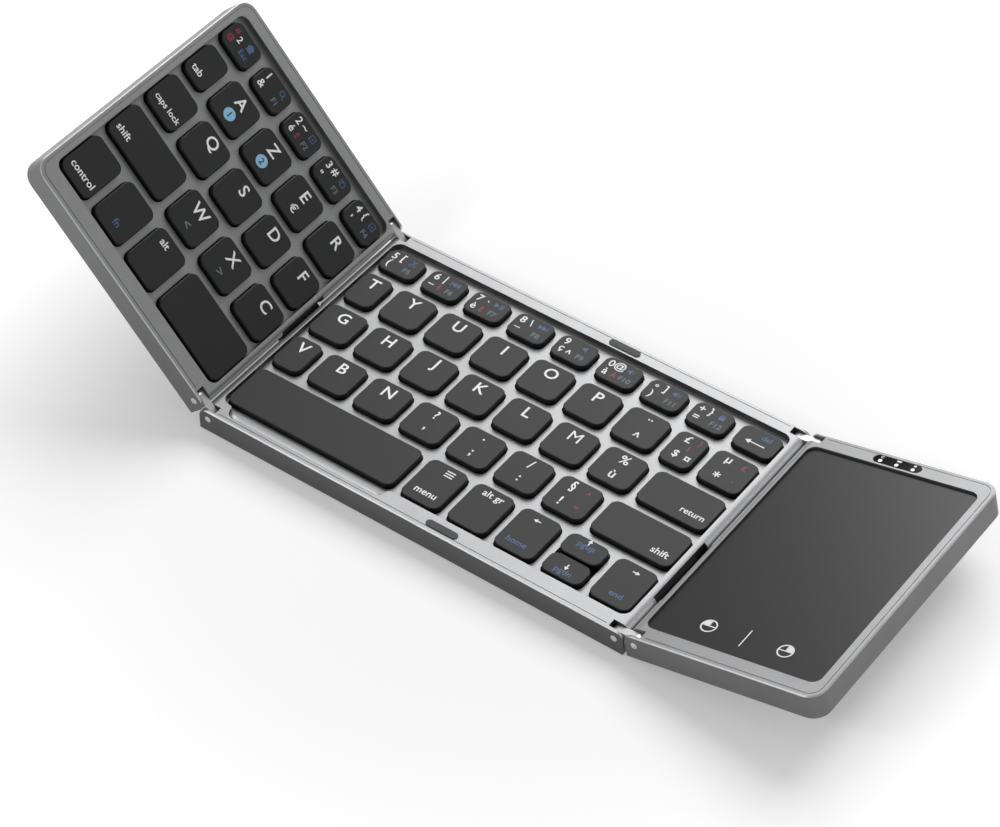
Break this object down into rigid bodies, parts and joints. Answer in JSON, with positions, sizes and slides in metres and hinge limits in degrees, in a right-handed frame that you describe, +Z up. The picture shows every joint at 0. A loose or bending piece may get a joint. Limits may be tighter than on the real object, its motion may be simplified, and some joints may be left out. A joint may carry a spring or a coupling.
{
  "type": "folding keyboard",
  "caption": "Pocket keyboard in three hinged panels: two keyed panels and a touch plate, the wings folding on link bars over the centre panel",
  "frame": {"origin": "on the table, under the middle of the part's width and depth as pictured, with the wings part way up", "axes": "+X towards the wing with the touch plate, +Y towards the digit keys, +Z up"},
  "size_m": [0.2798, 0.098, 0.0748],
  "materials": {
    "aluminium": "bead-blasted, satin",
    "cover_plate": "plain, satin",
    "leather": "pebbled",
    "rubber": "matt",
    "bumper": "matt",
    "steel": "bright",
    "keycap": "fine satin",
    "silicone": "satin, translucent white",
    "circuit_board": "solder mask",
    "touch_glass": "dark satin glass",
    "battery_foil": "foil",
    "window": "high gloss",
    "light_guide": "clear",
    "cable_film": "film",
    "switch_plastic": "satin"
  },
  "bodies": {
    "centre_panel": {"centre_frame": "aluminium", "centre_bottom_plate": "cover_plate", "centre_leather": "leather", "centre_circuit_board": "circuit_board", "centre_dome_sheet": "silicone", "centre_feet": "rubber", "centre_bumpers": "bumper", "centre_hinge_pins": "steel", "centre_screws": "steel"},
    "left_links": {"left_links": "steel", "left_flat_cable": "cable_film"},
    "left_wing": {"left_frame": "aluminium", "left_bottom_plate": "cover_plate", "left_leather": "leather", "left_circuit_board": "circuit_board", "left_dome_sheet": "silicone", "left_feet": "rubber", "left_hinge_pins": "steel", "left_screws": "steel"},
    "right_links": {"right_links": "steel", "right_flat_cable": "cable_film"},
    "right_wing": {"right_frame": "aluminium", "right_bottom_plate": "cover_plate", "right_leather": "leather", "touch_plate": "touch_glass", "main_board": "circuit_board", "battery": "battery_foil", "usb_c_socket": "steel", "indicator_window": "window", "light_guides": "light_guide", "right_feet": "rubber", "right_hinge_pins": "steel", "right_screws": "steel"},
    "power_switch": {"power_switch": "switch_plastic"},
    "escape_key": {"escape_key": "keycap"},
    "left_digit_keys": {"left_digit_keys": "keycap"},
    "tab_key": {"tab_key": "keycap"},
    "left_upper_letter_keys": {"left_upper_letter_keys": "keycap"},
    "caps_lock_key": {"caps_lock_key": "keycap"},
    "left_home_letter_keys": {"left_home_letter_keys": "keycap"},
    "left_shift_key": {"left_shift_key": "keycap"},
    "left_lower_letter_keys": {"left_lower_letter_keys": "keycap"},
    "control_key": {"control_key": "keycap"},
    "function_key": {"function_key": "keycap"},
    "left_alt_key": {"left_alt_key": "keycap"},
    "left_space_key": {"left_space_key": "keycap"},
    "centre_digit_keys": {"centre_digit_keys": "keycap"},
    "backspace_key": {"backspace_key": "keycap"},
    "centre_upper_letter_keys": {"centre_upper_letter_keys": "keycap"},
    "centre_home_letter_keys": {"centre_home_letter_keys": "keycap"},
    "return_key": {"return_key": "keycap"},
    "centre_lower_letter_keys": {"centre_lower_letter_keys": "keycap"},
    "right_shift_key": {"right_shift_key": "keycap"},
    "right_space_key": {"right_space_key": "keycap"},
    "system_key": {"system_key": "keycap"},
    "right_alt_key": {"right_alt_key": "keycap"},
    "left_arrow_key": {"left_arrow_key": "keycap"},
    "up_arrow_key": {"up_arrow_key": "keycap"},
    "down_arrow_key": {"down_arrow_key": "keycap"},
    "right_arrow_key": {"right_arrow_key": "keycap"}
  },
  "joints": [
    {"name": "left_fold_inner", "type": "hinge", "parent": "centre_panel", "child": "left_links", "pos_m": [-0.07465, 0, 0.0053], "axis": [0, 1, 0], "range_deg": [-43.8, 46.2], "deforming": ["left_flat_cable"]},
    {"name": "left_fold_outer", "type": "hinge", "parent": "left_links", "child": "left_wing", "pos_m": [-0.07963, 0, 0.01008], "axis": [0, 1, 0], "range_deg": [-4.1, 85.9], "deforming": ["left_flat_cable"]},
    {"name": "right_fold_inner", "type": "hinge", "parent": "centre_panel", "child": "right_links", "pos_m": [0.07235, 0, 0.0053], "axis": [0, -1, 0], "range_deg": [-11.8, 78.2], "deforming": ["right_flat_cable"]},
    {"name": "right_fold_outer", "type": "hinge", "parent": "right_links", "child": "right_wing", "pos_m": [0.0791, 0, 0.00671], "axis": [0, -1, 0], "range_deg": [-1.8, 88.2], "deforming": ["right_flat_cable"]},
    {"name": "power_switch_slide", "type": "slide", "parent": "right_wing", "child": "power_switch", "axis": [0.972, 0, 0.2351], "range_m": [0, 0.0024]},
    {"name": "escape_press", "type": "slide", "parent": "left_wing", "child": "escape_key", "axis": [-0.742, 0, -0.6704], "range_m": [0, 0.0013], "stiffness_N_per_m": 400, "springref_m": -0.0004, "deforming": ["left_dome_sheet"]},
    {"name": "left_digit_press", "type": "slide", "parent": "left_wing", "child": "left_digit_keys", "axis": [-0.742, 0, -0.6704], "range_m": [0, 0.0013], "stiffness_N_per_m": 400, "springref_m": -0.0004, "deforming": ["left_dome_sheet"]},
    {"name": "tab_press", "type": "slide", "parent": "left_wing", "child": "tab_key", "axis": [-0.742, 0, -0.6704], "range_m": [0, 0.0013], "stiffness_N_per_m": 400, "springref_m": -0.0004, "deforming": ["left_dome_sheet"]},
    {"name": "left_upper_letter_press", "type": "slide", "parent": "left_wing", "child": "left_upper_letter_keys", "axis": [-0.742, 0, -0.6704], "range_m": [0, 0.0013], "stiffness_N_per_m": 400, "springref_m": -0.0004, "deforming": ["left_dome_sheet"]},
    {"name": "caps_lock_press", "type": "slide", "parent": "left_wing", "child": "caps_lock_key", "axis": [-0.742, 0, -0.6704], "range_m": [0, 0.0013], "stiffness_N_per_m": 400, "springref_m": -0.0004, "deforming": ["left_dome_sheet"]},
    {"name": "left_home_letter_press", "type": "slide", "parent": "left_wing", "child": "left_home_letter_keys", "axis": [-0.742, 0, -0.6704], "range_m": [0, 0.0013], "stiffness_N_per_m": 400, "springref_m": -0.0004, "deforming": ["left_dome_sheet"]},
    {"name": "left_shift_press", "type": "slide", "parent": "left_wing", "child": "left_shift_key", "axis": [-0.742, 0, -0.6704], "range_m": [0, 0.0013], "stiffness_N_per_m": 400, "springref_m": -0.0004, "deforming": ["left_dome_sheet"]},
    {"name": "left_lower_letter_press", "type": "slide", "parent": "left_wing", "child": "left_lower_letter_keys", "axis": [-0.742, 0, -0.6704], "range_m": [0, 0.0013], "stiffness_N_per_m": 400, "springref_m": -0.0004, "deforming": ["left_dome_sheet"]},
    {"name": "control_press", "type": "slide", "parent": "left_wing", "child": "control_key", "axis": [-0.742, 0, -0.6704], "range_m": [0, 0.0013], "stiffness_N_per_m": 400, "springref_m": -0.0004, "deforming": ["left_dome_sheet"]},
    {"name": "function_press", "type": "slide", "parent": "left_wing", "child": "function_key", "axis": [-0.742, 0, -0.6704], "range_m": [0, 0.0013], "stiffness_N_per_m": 400, "springref_m": -0.0004, "deforming": ["left_dome_sheet"]},
    {"name": "left_alt_press", "type": "slide", "parent": "left_wing", "child": "left_alt_key", "axis": [-0.742, 0, -0.6704], "range_m": [0, 0.0013], "stiffness_N_per_m": 400, "springref_m": -0.0004, "deforming": ["left_dome_sheet"]},
    {"name": "left_space_press", "type": "slide", "parent": "left_wing", "child": "left_space_key", "axis": [-0.742, 0, -0.6704], "range_m": [0, 0.0013], "stiffness_N_per_m": 400, "springref_m": -0.0004, "deforming": ["left_dome_sheet"]},
    {"name": "centre_digit_press", "type": "slide", "parent": "centre_panel", "child": "centre_digit_keys", "axis": [0, 0, -1], "range_m": [0, 0.0013], "stiffness_N_per_m": 400, "springref_m": -0.0004, "deforming": ["centre_dome_sheet"]},
    {"name": "backspace_press", "type": "slide", "parent": "centre_panel", "child": "backspace_key", "axis": [0, 0, -1], "range_m": [0, 0.0013], "stiffness_N_per_m": 400, "springref_m": -0.0004, "deforming": ["centre_dome_sheet"]},
    {"name": "centre_upper_letter_press", "type": "slide", "parent": "centre_panel", "child": "centre_upper_letter_keys", "axis": [0, 0, -1], "range_m": [0, 0.0013], "stiffness_N_per_m": 400, "springref_m": -0.0004, "deforming": ["centre_dome_sheet"]},
    {"name": "centre_home_letter_press", "type": "slide", "parent": "centre_panel", "child": "centre_home_letter_keys", "axis": [0, 0, -1], "range_m": [0, 0.0013], "stiffness_N_per_m": 400, "springref_m": -0.0004, "deforming": ["centre_dome_sheet"]},
    {"name": "return_press", "type": "slide", "parent": "centre_panel", "child": "return_key", "axis": [0, 0, -1], "range_m": [0, 0.0013], "stiffness_N_per_m": 400, "springref_m": -0.0004, "deforming": ["centre_dome_sheet"]},
    {"name": "centre_lower_letter_press", "type": "slide", "parent": "centre_panel", "child": "centre_lower_letter_keys", "axis": [0, 0, -1], "range_m": [0, 0.0013], "stiffness_N_per_m": 400, "springref_m": -0.0004, "deforming": ["centre_dome_sheet"]},
    {"name": "right_shift_press", "type": "slide", "parent": "centre_panel", "child": "right_shift_key", "axis": [0, 0, -1], "range_m": [0, 0.0013], "stiffness_N_per_m": 400, "springref_m": -0.0004, "deforming": ["centre_dome_sheet"]},
    {"name": "right_space_press", "type": "slide", "parent": "centre_panel", "child": "right_space_key", "axis": [0, 0, -1], "range_m": [0, 0.0013], "stiffness_N_per_m": 400, "springref_m": -0.0004, "deforming": ["centre_dome_sheet"]},
    {"name": "system_press", "type": "slide", "parent": "centre_panel", "child": "system_key", "axis": [0, 0, -1], "range_m": [0, 0.0013], "stiffness_N_per_m": 400, "springref_m": -0.0004, "deforming": ["centre_dome_sheet"]},
    {"name": "right_alt_press", "type": "slide", "parent": "centre_panel", "child": "right_alt_key", "axis": [0, 0, -1], "range_m": [0, 0.0013], "stiffness_N_per_m": 400, "springref_m": -0.0004, "deforming": ["centre_dome_sheet"]},
    {"name": "left_arrow_press", "type": "slide", "parent": "centre_panel", "child": "left_arrow_key", "axis": [0, 0, -1], "range_m": [0, 0.0013], "stiffness_N_per_m": 400, "springref_m": -0.0004, "deforming": ["centre_dome_sheet"]},
    {"name": "up_arrow_press", "type": "slide", "parent": "centre_panel", "child": "up_arrow_key", "axis": [0, 0, -1], "range_m": [0, 0.0013], "stiffness_N_per_m": 400, "springref_m": -0.0004, "deforming": ["centre_dome_sheet"]},
    {"name": "down_arrow_press", "type": "slide", "parent": "centre_panel", "child": "down_arrow_key", "axis": [0, 0, -1], "range_m": [0, 0.0013], "stiffness_N_per_m": 400, "springref_m": -0.0004, "deforming": ["centre_dome_sheet"]},
    {"name": "right_arrow_press", "type": "slide", "parent": "centre_panel", "child": "right_arrow_key", "axis": [0, 0, -1], "range_m": [0, 0.0013], "stiffness_N_per_m": 400, "springref_m": -0.0004, "deforming": ["centre_dome_sheet"]}
  ]
}
